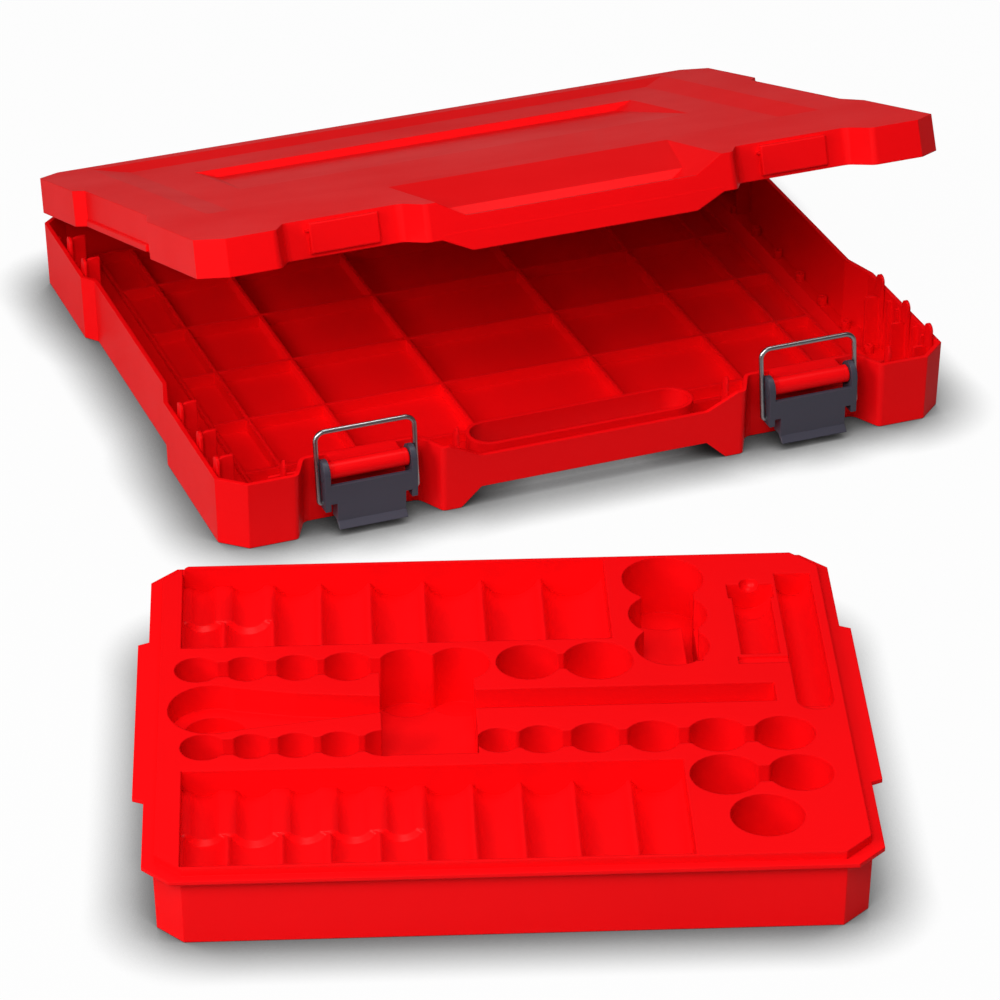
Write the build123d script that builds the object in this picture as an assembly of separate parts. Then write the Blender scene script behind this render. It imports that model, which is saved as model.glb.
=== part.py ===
from build123d import *
import math
import os

# All sizes in millimetres. The case is drawn closed in its own frame (front at -Y),
# then turned and placed beside the tray, whose edges the shared axes follow.

# placement
CASE_TURN = 18.4
TRAY_X = -9.0
TRAY_Y = -420.6

# case shell
CASE_LENGTH = 400.0
CASE_WIDTH = 326.0
BASE_HEIGHT = 37.0
LID_HEIGHT = 19.2
RIM_GAP = 0.4
WALL = 2.4
CORNER_X = 13.5
CORNER_Y = 12.0
BASE_DRAFT = 1.5
LID_DRAFT = 2.0
SIDE_RECESS = 5.5
SIDE_RECESS_FROM_FRONT = 106.0
SIDE_RECESS_FROM_BACK = 85.0
SIDE_RAMP_FRONT = 19.0
SIDE_RAMP_BACK = 7.0

# places that follow from the shell
SIDE_X = CASE_LENGTH / 2
FRONT_Y = -CASE_WIDTH / 2
BACK_Y = CASE_WIDTH / 2
LID_LOW = BASE_HEIGHT + RIM_GAP
LID_TOP = LID_LOW + LID_HEIGHT

# latch recesses in the front wall
LATCH_FROM_SIDE = 78.5
LATCH_X = SIDE_X - LATCH_FROM_SIDE
LATCH_RECESS_DEPTH = 15.5
LATCH_RECESS_FLOOR = 60.5
LATCH_RECESS_FLARE = 8.0
RECESS_ROUND = 4.0

# hand grip, which ends a set way short of the latches
GRIP_TO_LATCH = 59.5
GRIP_HALF = LATCH_X - GRIP_TO_LATCH
GRIP_RAMP = 15.0
GRIP_DIP = 8.5
GRIP_RIM = BASE_HEIGHT - GRIP_DIP
GRIP_LIFT = 10.3
GRIP_LIFT_RAMP = 11.0
GRIP_DEPTH = 41.0
GRIP_ROUND = 6.0
TUBE_LENGTH = 2 * GRIP_HALF
TUBE_WIDTH = 24.5
TUBE_FROM_FRONT = 21.7
TUBE_Y = FRONT_Y + TUBE_FROM_FRONT
TUBE_WALL = 2.0

# floor ribs of the base
RIB_THICK = 2.0
RIB_TOP = 9.0
RIB_FROM_SIDE = 30.0
RIB_SIDE_X = SIDE_X - RIB_FROM_SIDE
RIB_COLUMNS = (42.3, 107.7, RIB_SIDE_X - 20.0)
RIB_PITCH = 53.5
RIB_FIRST = 59.0
RIB_ROWS = 5
RIB_FROM_BACK = 6.0
RIB_BACK_Y = BACK_Y - RIB_FROM_BACK
RIB_FROM_FRONT = 45.0
RIB_FRONT_Y = FRONT_Y + RIB_FROM_FRONT
LEDGE_WIDTH = 12.0
LEDGE_TOP = 6.5

# small stops that stand above the rim, and bosses in the side channels
PRONG_RISE = 8.0
PRONG_WIDTH = 7.0
PRONG_THICK = 1.6
PRONG_INSET = 0.6
PRONG_FROM_FRONT = (19.5, 47.0, 79.0)
PRONG_FROM_BACK = (49.0, 76.0)
FIN_GAP = 12.0
FIN_X = GRIP_HALF + FIN_GAP
FIN_LENGTH = 9.0
CORNER_FIN_X = SIDE_X - RIB_FROM_SIDE - 4.0
BOSS_RADIUS = 2.6
BOSS_HOLE = 1.1
BOSS_RISE = 5.0
BOSS_PITCH = 30.0
BOSS_COUNT = 9
BOSS_FROM_SIDE = 12.0
BOSS_X = SIDE_X - BOSS_FROM_SIDE
PILASTER_DEPTH = 2.2
PILASTER_WIDTH = 2.0
PILASTER_FROM_FRONT = (27.0, 37.0, 58.0, 68.0)
PILASTER_FROM_BACK = (27.0, 62.0)

# latches
PIVOT_IN = 6.0
PIVOT_DOWN = 4.0
PIVOT_Y = FRONT_Y + PIVOT_IN
PIVOT_Z = BASE_HEIGHT - PIVOT_DOWN
BARREL_RADIUS = 4.6
BARREL_HALF = 18.6
NUB = 1.5
LEVER_HALF = 24.6
EAR_THICK = 3.0
EAR_RADIUS = 6.4
STUB_RADIUS = 2.0
RUNNING_GAP = 0.05
PLATE_PROUD = 6.6
PLATE_FRONT = PIVOT_Y - PLATE_PROUD
PLATE_THICK = 2.4
PLATE_TOP = PIVOT_Z - 5.6
PLATE_SHOULDER = PIVOT_Z - 16.0
PLATE_BOTTOM = PIVOT_Z - 29.4
PLATE_NARROW = 18.2
FLARE = 3.2
WIRE_RADIUS = 1.3
BAIL_SIDE_GAP = 0.4
BAIL_HALF = LEVER_HALF + BAIL_SIDE_GAP + 2 * WIRE_RADIUS
BAIL_PIVOT_Y = PIVOT_Y - 1.4
BAIL_PIVOT_Z = PIVOT_Z - 17.0
BAIL_LEAN = 5.0
BAIL_TOP_DOWN = 2.6
BAIL_TOP_Z = LID_TOP - BAIL_TOP_DOWN
BAIL_BEND = 5.0
BAIL_INSET = 7.0

# lid
PAD_HALF = 18.2
PAD_RISE = 2.6
PAD_MARGIN = 1.6
PAD_FOOT = 2.2
LIP_CLEAR = 1.5
SCOOP_LIP = 2.6
SCOOP_TOP = LID_TOP - 8.8
SCOOP_FLOOR = LID_TOP - 14.1
SCOOP_FLAT_Y = FRONT_Y + 17.0
SCOOP_BEND_Y = FRONT_Y + 24.0
SCOOP_BEND_DOWN = 7.5
SCOOP_END_Y = FRONT_Y + 82.0
SCOOP_HALF = GRIP_HALF - 11.0
SCOOP_ROUND = 6.0
PANEL_X = SIDE_X - RIB_FROM_SIDE
PANEL_BEVEL = 17.0
PANEL_DEPTH = 2.5
PANEL_FRONT = FRONT_Y + 88.0
PANEL_BACK = BACK_Y - 13.0
RAMP_X = SIDE_X - 84.0
RAMP_SPREAD = 12.0
RAMP_DEPTH = 4.2
RAMP_FRONT = FRONT_Y + 168.0
RAMP_BACK = BACK_Y - 71.0

# hinge at the back
HINGE_BEHIND = 4.5
HINGE_Y = BACK_Y + HINGE_BEHIND
HINGE_Z = BASE_HEIGHT + RIM_GAP / 2
HINGE_FROM_SIDE = 80.0
HINGE_X = SIDE_X - HINGE_FROM_SIDE
KNUCKLE_RADIUS = 3.6
KNUCKLE_LENGTH = 12.0
KNUCKLE_GAP = 0.4
KNUCKLES = 5
PIN_RADIUS = 1.5
LID_OPEN = 18.9

# socket tray
DECK_X = 157.0
DECK_Y = 127.0
DECK_CUT = 12.0
TRAY_HEIGHT = 39.0
SKIN = 1.6
SKIRT_DRAFT = 1.5
FLANGE_DROP = 4.0
FLANGE_OUT = 5.7
FLANGE_OUT_Y = 4.2
FLANGE_THICK = 2.0
TAB_X = 167.8
TAB_FRONT = -70.0
TAB_BACK = 68.0
TAB_END = 5.0
ROW_DEPTH = 26.0
BIG_DEPTH = 30.0
NECK = 13.0
CUSP = 1.6
UPPER_ROW_Y = 34.0
UPPER_ROW = ((-139.5, 10.8), (-116.7, 10.8), (-93.6, 11.2), (-70.0, 12.4))
WELL_PAIR = ((-42.3, 13.8), (-18.0, 14.3))
UPPER_RIGHT = ((14.1, 15.2), (46.4, 16.5))
LOWER_ROW_Y = -31.5
LOWER_ROW = ((-136.3, 10.6), (-114.6, 10.3), (-94.6, 10.3), (-74.6, 10.6), (-54.4, 10.8))
LOWER_RIGHT = ((-2.7, 10.1), (16.7, 11.6), (41.3, 12.4), (67.7, 13.1), (96.8, 14.0), (127.0, 14.2))
WELL_LEFT = -55.5
WELL_RIGHT = -12.0
WELL_FRONT = -41.7
WELL_DEPTH = 20.0
HEAD_X = -132.4
HEAD_RADIUS = 20.5
HEAD_DEPTH = 13.0
SEAT_RADIUS = 15.0
SEAT_DEPTH = 21.0
NECK_HALF = 8.0
HANDLE_Y = 3.4
HANDLE_HALF = 7.9
HANDLE_END = 126.3
HANDLE_DEPTH = 16.0
STACK_X = 82.0
STACK_Y = (105.5, 73.2, 45.4)
STACK_RADIUS = (19.5, 18.7, 17.5)
STACK_DEPTH = 31.0
STACK_STEP = 14.0
SLOT_OFF = 8.0
SLOT_WIDTH = 5.5
SLOT_REACH = 14.0
PAIR_Y = -64.0
PAIR = ((97.5, 16.2), (131.3, 14.8))
SINGLE_X = 113.1
SINGLE_Y = -97.1
SINGLE_RADIUS = 16.6
LYING_AXIS = 23.4
RIDGE = 1.4
UPPER_TROUGH_FRONT = 53.0
UPPER_EDGES = (-147.5, -128.0, -104.7, -82.0, -58.3, -32.3, -4.5, 24.0, 54.5)
LOWER_TROUGH_BACK = -50.8
LOWER_EDGES = (-146.0, -125.5, -101.6, -80.4, -58.5, -37.9, -16.2, 5.6, 29.5, 55.0, 79.3)
STEP_RISE = 2.2
UPPER_STEP_Y = 71.6
UPPER_STEPS = 2
LOWER_STEP_Y = -99.0
LOWER_STEPS = 5
BAR_X = 122.7
BAR_RADIUS = 9.2
BAR_HEAD_HALF = 10.9
BAR_FRONT = 36.0
BAR_HEAD_FRONT = 86.0
BAR_BACK = 98.6
BAR_AXIS_DOWN = 3.0
LANDING_FRONT = 28.0
LANDING_BACK = 34.0
LANDING_DEPTH = 1.6
BALL_RADIUS = 4.6
LONG_X = 144.0
LONG_RADIUS = 8.6
LONG_BACK = 107.7
LONG_FRONT = -4.0
LONG_AXIS_DOWN = 4.0


def half_turned(points):
    """The right-hand points of an outline followed by their mirror image."""
    left = [(-x, y) for x, y in reversed(points)]
    return make_face(Polyline(*points, *left, close=True))


def case_outline(grow=0.0):
    """Plan of the case: cut corners, side recesses and the two latch recesses."""
    front = FRONT_Y
    side = SIDE_X
    deep = front + LATCH_RECESS_DEPTH
    ramp_front = front + SIDE_RECESS_FROM_FRONT
    ramp_back = BACK_Y - SIDE_RECESS_FROM_BACK
    near = LATCH_X - LATCH_RECESS_FLOOR / 2
    far = LATCH_X + LATCH_RECESS_FLOOR / 2
    points = [
        (near - LATCH_RECESS_FLARE, front),
        (near, deep),
        (far, deep),
        (far + LATCH_RECESS_FLARE, front),
        (side - CORNER_X, front),
        (side, front + CORNER_Y),
        (side, ramp_front - SIDE_RAMP_FRONT / 2),
        (side - SIDE_RECESS, ramp_front + SIDE_RAMP_FRONT / 2),
        (side - SIDE_RECESS, ramp_back - SIDE_RAMP_BACK / 2),
        (side, ramp_back + SIDE_RAMP_BACK / 2),
        (side, BACK_Y - CORNER_Y),
        (side - CORNER_X, BACK_Y),
    ]
    face = half_turned(points)
    corners = [v for v in face.vertices() if v.Y < deep + 1 and abs(v.X) < far + LATCH_RECESS_FLARE + 1]
    face = fillet(corners, RECESS_ROUND)
    return offset(face, amount=grow) if grow else face


def box(x0, x1, y0, y1, z0, z1):
    """A box between two corners."""
    place = Pos((x0 + x1) / 2, (y0 + y1) / 2, (z0 + z1) / 2)
    return place * Box(x1 - x0, y1 - y0, z1 - z0)


def front_prism(points, y0, y1, radius=0.0, low=0.0, high=0.0):
    """A prism along Y from a profile in X and Z, rounded where corners lie between two heights."""
    face = make_face(Polyline(*points, close=True))
    corners = [v for v in face.vertices() if radius and low < v.Y < high]
    if corners:
        face = fillet(corners, radius)
    return Pos(0, y1, 0) * extrude(Plane.XZ * face, amount=y1 - y0)


def side_prism(points, half):
    """A prism along X, evenly about the middle, with a profile given in Y and Z."""
    profile = Plane.YZ * make_face(Polyline(*points, close=True))
    return extrude(profile, amount=half, both=True)


def both_sides(shape):
    """The shape and its mirror image across the middle of the case."""
    return shape + mirror(shape, Plane.YZ)


def grip_bridge(extra):
    """The raised zone under the hand grip, grown by a skin thickness."""
    foot = GRIP_HALF + GRIP_LIFT_RAMP + extra
    head = GRIP_HALF + extra
    top = GRIP_LIFT + extra
    points = [(-foot, -1), (-foot, 0), (-head, top), (head, top), (foot, 0), (foot, -1)]
    return front_prism(points, FRONT_Y - WALL, FRONT_Y + GRIP_DEPTH + extra)


def base_ribs():
    """Crossed floor ribs with a raised border, as one grid."""
    low = WALL - 0.5
    rise = RIB_TOP - low
    back = RIB_BACK_Y
    front = RIB_FRONT_Y
    lines = Sketch()
    for column in RIB_COLUMNS:
        start = front if column < GRIP_HALF else FRONT_Y
        for x in (-column, column):
            lines += Pos(x, (back + start) / 2) * Rectangle(RIB_THICK, back - start)
    for row in range(RIB_ROWS):
        y = FRONT_Y + RIB_FIRST + row * RIB_PITCH
        lines += Pos(0, y) * Rectangle(2 * RIB_SIDE_X, RIB_THICK)
    lines += Pos(0, back) * Rectangle(2 * RIB_SIDE_X + RIB_THICK, RIB_THICK)
    lines += Pos(0, front) * Rectangle(2 * RIB_SIDE_X + RIB_THICK, RIB_THICK)
    for x in (-RIB_SIDE_X, RIB_SIDE_X):
        lines += Pos(x, (back + front) / 2) * Rectangle(RIB_THICK, back - front)
    grid = Pos(0, 0, low) * extrude(lines, amount=rise)
    shelf = box(RIB_SIDE_X, RIB_SIDE_X + LEDGE_WIDTH, front, back, low, LEDGE_TOP)
    return grid + both_sides(shelf)


def base_prongs():
    """Rounded prongs inside the side walls, standing above the rim."""
    out = Part()
    side = SIDE_X - WALL - PRONG_INSET
    top = BASE_HEIGHT + PRONG_RISE
    straight = top - WALL - PRONG_WIDTH / 2
    places = [FRONT_Y + far for far in PRONG_FROM_FRONT] + [BACK_Y - far for far in PRONG_FROM_BACK]
    for y in places:
        prong = box(side - PRONG_THICK, side, y - PRONG_WIDTH / 2, y + PRONG_WIDTH / 2, WALL, WALL + straight)
        cap = Pos(side - PRONG_THICK / 2, y, WALL + straight) * Rot(0, 90, 0)
        prong += cap * Cylinder(PRONG_WIDTH / 2, PRONG_THICK)
        foot = box(side - PRONG_THICK, side + PRONG_INSET + WALL / 2, y - PILASTER_WIDTH / 2,
                   y + PILASTER_WIDTH / 2, WALL, BASE_HEIGHT - WALL)
        out += prong + foot
    return both_sides(out)


def base_fins():
    """Pointed guide fins at the front: beside the grip and outside the latches."""
    low = WALL
    high = BASE_HEIGHT + PRONG_RISE
    back = FRONT_Y + WALL + PRONG_INSET
    points = [(back, low), (back, high - PRONG_WIDTH / 2), (back + PRONG_THICK, high),
              (back + FIN_LENGTH / 2, high - PRONG_WIDTH / 2), (back + FIN_LENGTH, low)]
    blade = side_prism(points, PRONG_THICK / 2)
    web = box(-PRONG_THICK / 2, PRONG_THICK / 2, back - PRONG_INSET - WALL / 2, back + 1, low,
              BASE_HEIGHT - WALL)
    fin = blade + web
    return both_sides(Pos(FIN_X, 0, 0) * fin + Pos(CORNER_FIN_X, 0, 0) * fin)


def base_bosses():
    """Small round bosses along the two side channels, and thin wall ribs."""
    out = Part()
    first = -BOSS_PITCH * (BOSS_COUNT - 1) / 2
    for i in range(BOSS_COUNT):
        spot = Pos(BOSS_X, first + i * BOSS_PITCH, WALL - 0.5 + BOSS_RISE / 2)
        out += spot * (Cylinder(BOSS_RADIUS, BOSS_RISE) - Cylinder(BOSS_HOLE, BOSS_RISE))
    side = SIDE_X - WALL / 2
    places = [FRONT_Y + far for far in PILASTER_FROM_FRONT] + [BACK_Y - far for far in PILASTER_FROM_BACK]
    for y in places:
        out += box(side - WALL / 2 - PILASTER_DEPTH, side, y - PILASTER_WIDTH / 2,
                   y + PILASTER_WIDTH / 2, WALL, BASE_HEIGHT - WALL)
    return both_sides(out)


def latch_barrel():
    """The barrel moulded on the front wall that a latch lever hinges on."""
    floor_y = FRONT_Y + LATCH_RECESS_DEPTH
    barrel = Pos(0, PIVOT_Y, PIVOT_Z) * Rot(0, 90, 0) * Cylinder(BARREL_RADIUS, 2 * BARREL_HALF)
    neck_low = PIVOT_Z - BARREL_RADIUS / 2
    neck = box(-BARREL_HALF, BARREL_HALF, PIVOT_Y, floor_y + WALL / 2, neck_low, BASE_HEIGHT)
    nub = box(-NUB / 2, NUB / 2, floor_y - NUB, floor_y, BASE_HEIGHT - NUB, BASE_HEIGHT)
    neck += Pos(-BARREL_HALF / 2, 0, 0) * nub + Pos(BARREL_HALF / 2, 0, 0) * nub
    stub = Pos(0, PIVOT_Y, PIVOT_Z) * Rot(0, 90, 0)
    stub = stub * Cylinder(STUB_RADIUS, 2 * LEVER_HALF)
    return barrel + neck + stub


def at_latches(shape):
    """The shape at each of the two latch places."""
    return Pos(-LATCH_X, 0, 0) * shape + Pos(LATCH_X, 0, 0) * shape


def knuckle_row(first):
    """Every second hinge knuckle of one row, bored for the pin."""
    row = Part()
    step = KNUCKLE_LENGTH + KNUCKLE_GAP
    for i in range(first, KNUCKLES, 2):
        x = (i - (KNUCKLES - 1) / 2) * step
        tube = Pos(x, HINGE_Y, HINGE_Z) * Rot(0, 90, 0) * Cylinder(KNUCKLE_RADIUS, KNUCKLE_LENGTH)
        row += tube
    return row


def knuckle_webs(first, z0, z1):
    """The webs that join every second knuckle to the back wall."""
    webs = Part()
    step = KNUCKLE_LENGTH + KNUCKLE_GAP
    wall = BACK_Y - WALL / 2
    for i in range(first, KNUCKLES, 2):
        x = (i - (KNUCKLES - 1) / 2) * step
        webs += box(x - KNUCKLE_LENGTH / 2, x + KNUCKLE_LENGTH / 2, wall, HINGE_Y, z0, z1)
    return webs


def hinge_clear():
    """Space around the whole knuckle row, cut from the walls beside it."""
    half = KNUCKLES * (KNUCKLE_LENGTH + KNUCKLE_GAP) / 2 + KNUCKLE_GAP
    round_part = Pos(0, HINGE_Y, HINGE_Z) * Rot(0, 90, 0)
    return round_part * Cylinder(KNUCKLE_RADIUS + 0.5, 2 * half)


def pin_bore(radius):
    """The hinge axis as a long rod of a given radius."""
    half = KNUCKLES * (KNUCKLE_LENGTH + KNUCKLE_GAP) / 2 + 2
    return Pos(0, HINGE_Y, HINGE_Z) * Rot(0, 90, 0) * Cylinder(radius, 2 * half)


def at_hinges(shape):
    """The shape at each of the two hinge places."""
    return Pos(-HINGE_X, 0, 0) * shape + Pos(HINGE_X, 0, 0) * shape


def case_base():
    """The open lower half: walls, floor, ribs, grip tube, barrels and knuckles."""
    top = Pos(0, 0, BASE_HEIGHT)
    outer = extrude(top * case_outline(), amount=-BASE_HEIGHT, taper=BASE_DRAFT)
    hollow = extrude(top * case_outline(-WALL), amount=WALL - BASE_HEIGHT, taper=BASE_DRAFT)
    shell = outer - hollow
    inside = base_ribs() + base_bosses()
    shell += inside & outer
    shell += grip_bridge(WALL) & outer
    tube_place = Pos(0, TUBE_Y, GRIP_LIFT)
    shell += tube_place * extrude(SlotOverall(TUBE_LENGTH, TUBE_WIDTH), amount=GRIP_RIM - GRIP_LIFT)
    shell -= grip_bridge(0)
    bore = SlotOverall(TUBE_LENGTH - 2 * TUBE_WALL, TUBE_WIDTH - 2 * TUBE_WALL)
    shell -= Pos(0, TUBE_Y, 0) * extrude(bore, amount=BASE_HEIGHT)
    ramp = GRIP_HALF + GRIP_RAMP + 2
    dip = [(-ramp, BASE_HEIGHT + 1), (-ramp, BASE_HEIGHT), (-GRIP_HALF, GRIP_RIM),
           (GRIP_HALF, GRIP_RIM), (ramp, BASE_HEIGHT), (ramp, BASE_HEIGHT + 1)]
    shell -= front_prism(dip, FRONT_Y - WALL, FRONT_Y + 2 * WALL, GRIP_ROUND, GRIP_RIM - 1, BASE_HEIGHT - 1)
    shell += base_prongs() + base_fins()
    shell -= at_hinges(hinge_clear())
    shell += at_hinges(knuckle_row(0) + knuckle_webs(0, HINGE_Z - KNUCKLE_RADIUS, HINGE_Z))
    shell -= at_hinges(pin_bore(PIN_RADIUS + RUNNING_GAP))
    shell += at_latches(latch_barrel())
    return shell


def hinge_pin():
    """A plain steel pin through one row of knuckles."""
    half = KNUCKLES * (KNUCKLE_LENGTH + KNUCKLE_GAP) / 2
    pin = Pos(0, HINGE_Y, HINGE_Z) * Rot(0, 90, 0) * Cylinder(PIN_RADIUS, 2 * half)
    return chamfer(pin.edges(), 0.3)


def lid_scoop(extra):
    """The hand scoop behind the lid's lip, grown downward and outward by a skin."""
    front = FRONT_Y
    top = LID_TOP + 1
    floor_z = SCOOP_FLOOR - extra
    side = [(front - 1, top), (front - 1, SCOOP_TOP - extra), (front + SCOOP_LIP, SCOOP_TOP - extra),
            (front + SCOOP_LIP, floor_z), (SCOOP_FLAT_Y + extra, floor_z),
            (SCOOP_BEND_Y + extra, LID_TOP - SCOOP_BEND_DOWN - extra), (SCOOP_END_Y + 3 * extra, top)]
    half = GRIP_HALF + GRIP_RAMP + extra
    cross = [(-half - GRIP_RAMP, top), (-half, LID_TOP), (-GRIP_HALF - extra, SCOOP_TOP),
             (-SCOOP_HALF - extra, floor_z), (SCOOP_HALF + extra, floor_z), (GRIP_HALF + extra, SCOOP_TOP),
             (half, LID_TOP), (half + GRIP_RAMP, top)]
    end = front_prism(cross, front - WALL, SCOOP_END_Y + 8 * WALL, SCOOP_ROUND, floor_z - 1, LID_TOP - 1)
    return side_prism(side, half + 2 * GRIP_RAMP) & end


def sunk_panel(extra):
    """The shallow sunk field of the lid's top, with sloping sides and a stepped front."""
    top = LID_TOP
    low = top - PANEL_DEPTH - extra
    run = PANEL_BEVEL
    wide = half_box(PANEL_X + extra, PANEL_FRONT - extra, PANEL_BACK + extra)
    small = half_box(PANEL_X - run + extra, PANEL_FRONT - extra, PANEL_BACK - run + extra)
    return loft([Pos(0, 0, top + 0.01) * wide, Pos(0, 0, low) * small])


def half_box(x, y0, y1):
    """A rectangle from minus x to x and from y0 to y1."""
    return Pos(0, (y0 + y1) / 2) * Rectangle(2 * x, y1 - y0)


def ramped_recess(extra):
    """The ramped field in the panel: flush at the front, deep at the back."""
    top = LID_TOP - PANEL_DEPTH + 0.01
    deep = top - RAMP_DEPTH - extra
    x = RAMP_X + extra
    side = [(RAMP_FRONT - 4 * extra, top), (RAMP_BACK - 2 + extra, deep), (RAMP_BACK + extra, top)]
    cross = [(-x - RAMP_SPREAD, top), (-x, deep), (x, deep), (x + RAMP_SPREAD, top)]
    ends = front_prism(cross, RAMP_FRONT - 6 * WALL, RAMP_BACK + 6 * WALL)
    return side_prism(side, x + RAMP_SPREAD) & ends


def lid_lip():
    """The apron that fills the lowered front wall of the base."""
    low = LID_LOW
    wide = GRIP_HALF + GRIP_RAMP + 2 - 2 * LIP_CLEAR
    foot = GRIP_HALF - LIP_CLEAR
    tip = GRIP_RIM + LIP_CLEAR
    points = [(-wide, low + WALL), (-wide, low), (-foot, tip), (foot, tip), (wide, low), (wide, low + WALL)]
    return front_prism(points, FRONT_Y, FRONT_Y + WALL, GRIP_ROUND - LIP_CLEAR, tip - 1, low - 1)


def latch_pads():
    """Raised pads on the lid that the wire bails catch on."""
    wall = FRONT_Y + LATCH_RECESS_DEPTH
    pad = box(-PAD_HALF, PAD_HALF, wall - PAD_RISE, wall + WALL / 2, LID_LOW + PAD_FOOT, LID_TOP - PAD_MARGIN)
    rounded = fillet(pad.edges().group_by(Axis.Y)[0], PAD_RISE / 3)
    nub = box(-PAD_HALF - NUB, 1 - PAD_HALF, wall - NUB, wall + WALL / 2, LID_TOP - 4 * NUB, LID_TOP - 3 * NUB)
    return at_latches(rounded + nub)


def case_lid():
    """The lid, drawn closed: shell, scoop, sunk panel, ramped field, pads, knuckles."""
    low = LID_LOW
    outer = extrude(Pos(0, 0, low) * case_outline(), amount=LID_HEIGHT, taper=LID_DRAFT)
    hollow = extrude(Pos(0, 0, low) * case_outline(-WALL), amount=LID_HEIGHT - WALL, taper=LID_DRAFT)
    hollow -= lid_scoop(WALL)
    hollow -= sunk_panel(WALL)
    hollow -= ramped_recess(WALL)
    shell = outer - hollow
    shell += lid_lip()
    shell -= lid_scoop(0)
    shell -= sunk_panel(0)
    shell -= ramped_recess(0)
    shell += latch_pads()
    shell -= at_hinges(hinge_clear())
    shell += at_hinges(knuckle_row(1) + knuckle_webs(1, HINGE_Z, HINGE_Z + KNUCKLE_RADIUS))
    shell -= at_hinges(pin_bore(PIN_RADIUS + RUNNING_GAP))
    return shell


def latch_lever():
    """One over-centre lever: cover plate, ears on the barrel stubs, side flanges."""
    hub = Pos(0, PIVOT_Y, PIVOT_Z) * Rot(0, 90, 0)
    inner = LEVER_HALF - EAR_THICK
    ear_x = (inner + LEVER_HALF) / 2
    ear = hub * Pos(0, 0, ear_x) * Cylinder(EAR_RADIUS, EAR_THICK)
    arm = box(inner, LEVER_HALF, PLATE_FRONT, PIVOT_Y + EAR_RADIUS - 2, BAIL_PIVOT_Z - EAR_THICK, PIVOT_Z)
    flange = box(PLATE_NARROW - EAR_THICK + 1, PLATE_NARROW, PLATE_FRONT, BAIL_PIVOT_Y + 3,
                 PLATE_BOTTOM + FLARE, PLATE_SHOULDER + 1)
    sides = both_sides(ear + arm + flange)
    upper = box(-LEVER_HALF, LEVER_HALF, PLATE_FRONT, PLATE_FRONT + PLATE_THICK, PLATE_SHOULDER, PLATE_TOP)
    lower = [(PLATE_FRONT, PLATE_SHOULDER + 1), (PLATE_FRONT, PLATE_BOTTOM + FLARE),
             (PLATE_FRONT - FLARE, PLATE_BOTTOM), (PLATE_FRONT - FLARE + PLATE_THICK, PLATE_BOTTOM),
             (PLATE_FRONT + PLATE_THICK, PLATE_BOTTOM + FLARE),
             (PLATE_FRONT + PLATE_THICK, PLATE_SHOULDER + 1)]
    lever = sides + upper + side_prism(lower, PLATE_NARROW)
    lever -= hub * Cylinder(STUB_RADIUS + RUNNING_GAP, 3 * LEVER_HALF)
    wire = Pos(0, BAIL_PIVOT_Y, BAIL_PIVOT_Z) * Rot(0, 90, 0)
    lever -= wire * Cylinder(WIRE_RADIUS + RUNNING_GAP, 3 * LEVER_HALF)
    return lever


def latch_bail():
    """One bent wire bail: a rounded hoop whose feet turn inward into the lever."""
    tall = BAIL_TOP_Z - BAIL_PIVOT_Z
    leg = BAIL_HALF - WIRE_RADIUS
    foot = leg - BAIL_INSET
    tight = BAIL_HALF - WIRE_RADIUS - LEVER_HALF
    line = FilletPolyline((foot, 0), (leg, 0), (leg, tall), (-leg, tall), (-leg, 0), (-foot, 0),
                          radius=(tight, BAIL_BEND, BAIL_BEND, tight))
    path = Plane.XZ * line
    start = Plane(origin=path @ 0, z_dir=path % 0)
    hoop = sweep(start * Circle(WIRE_RADIUS), path=path)
    return Pos(0, BAIL_PIVOT_Y, BAIL_PIVOT_Z) * Rot(-math.degrees(math.atan(BAIL_LEAN / tall)), 0, 0) * hoop


def tray_plan(grow):
    """The deck's plan with cut corners, grown or shrunk."""
    x = DECK_X
    y = DECK_Y
    points = [(x - DECK_CUT, -y), (x, -y + DECK_CUT), (x, y - DECK_CUT), (x - DECK_CUT, y)]
    face = half_turned(points)
    return offset(face, amount=grow, kind=Kind.INTERSECTION) if grow else face


def softened(plan):
    """The plan with its inward corners rounded."""
    return offset(offset(plan, amount=CUSP), amount=-CUSP)


def circle_chain(centres, y):
    """A row of round pockets joined by a neck, corners rounded where they meet."""
    plan = Sketch()
    for x, radius in centres:
        plan += Pos(x, y) * Circle(radius)
    first = centres[0][0]
    last = centres[-1][0]
    plan += Pos((first + last) / 2, y) * Rectangle(last - first, NECK)
    return softened(plan)


def pocket(plan, depth, skin=0.0):
    """A straight pocket from the deck down, or its skin when one is given."""
    top = TRAY_HEIGHT if skin == 0.0 else TRAY_HEIGHT - SKIN / 2
    shape = offset(plan, amount=skin) if skin else plan
    return Pos(0, 0, top) * extrude(shape, amount=TRAY_HEIGHT - top - depth - skin)


def stack_plan(count):
    """The first circles of the stacked three, from the back."""
    plan = Sketch()
    spots = list(zip(STACK_Y, STACK_RADIUS))
    for y, radius in spots[:count]:
        plan += Pos(STACK_X, y) * Circle(radius)
    return softened(plan) if count > 1 else plan


def rect(x0, x1, y0, y1):
    """A rectangle between two corners."""
    return Pos((x0 + x1) / 2, (y0 + y1) / 2) * Rectangle(x1 - x0, y1 - y0)


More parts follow.
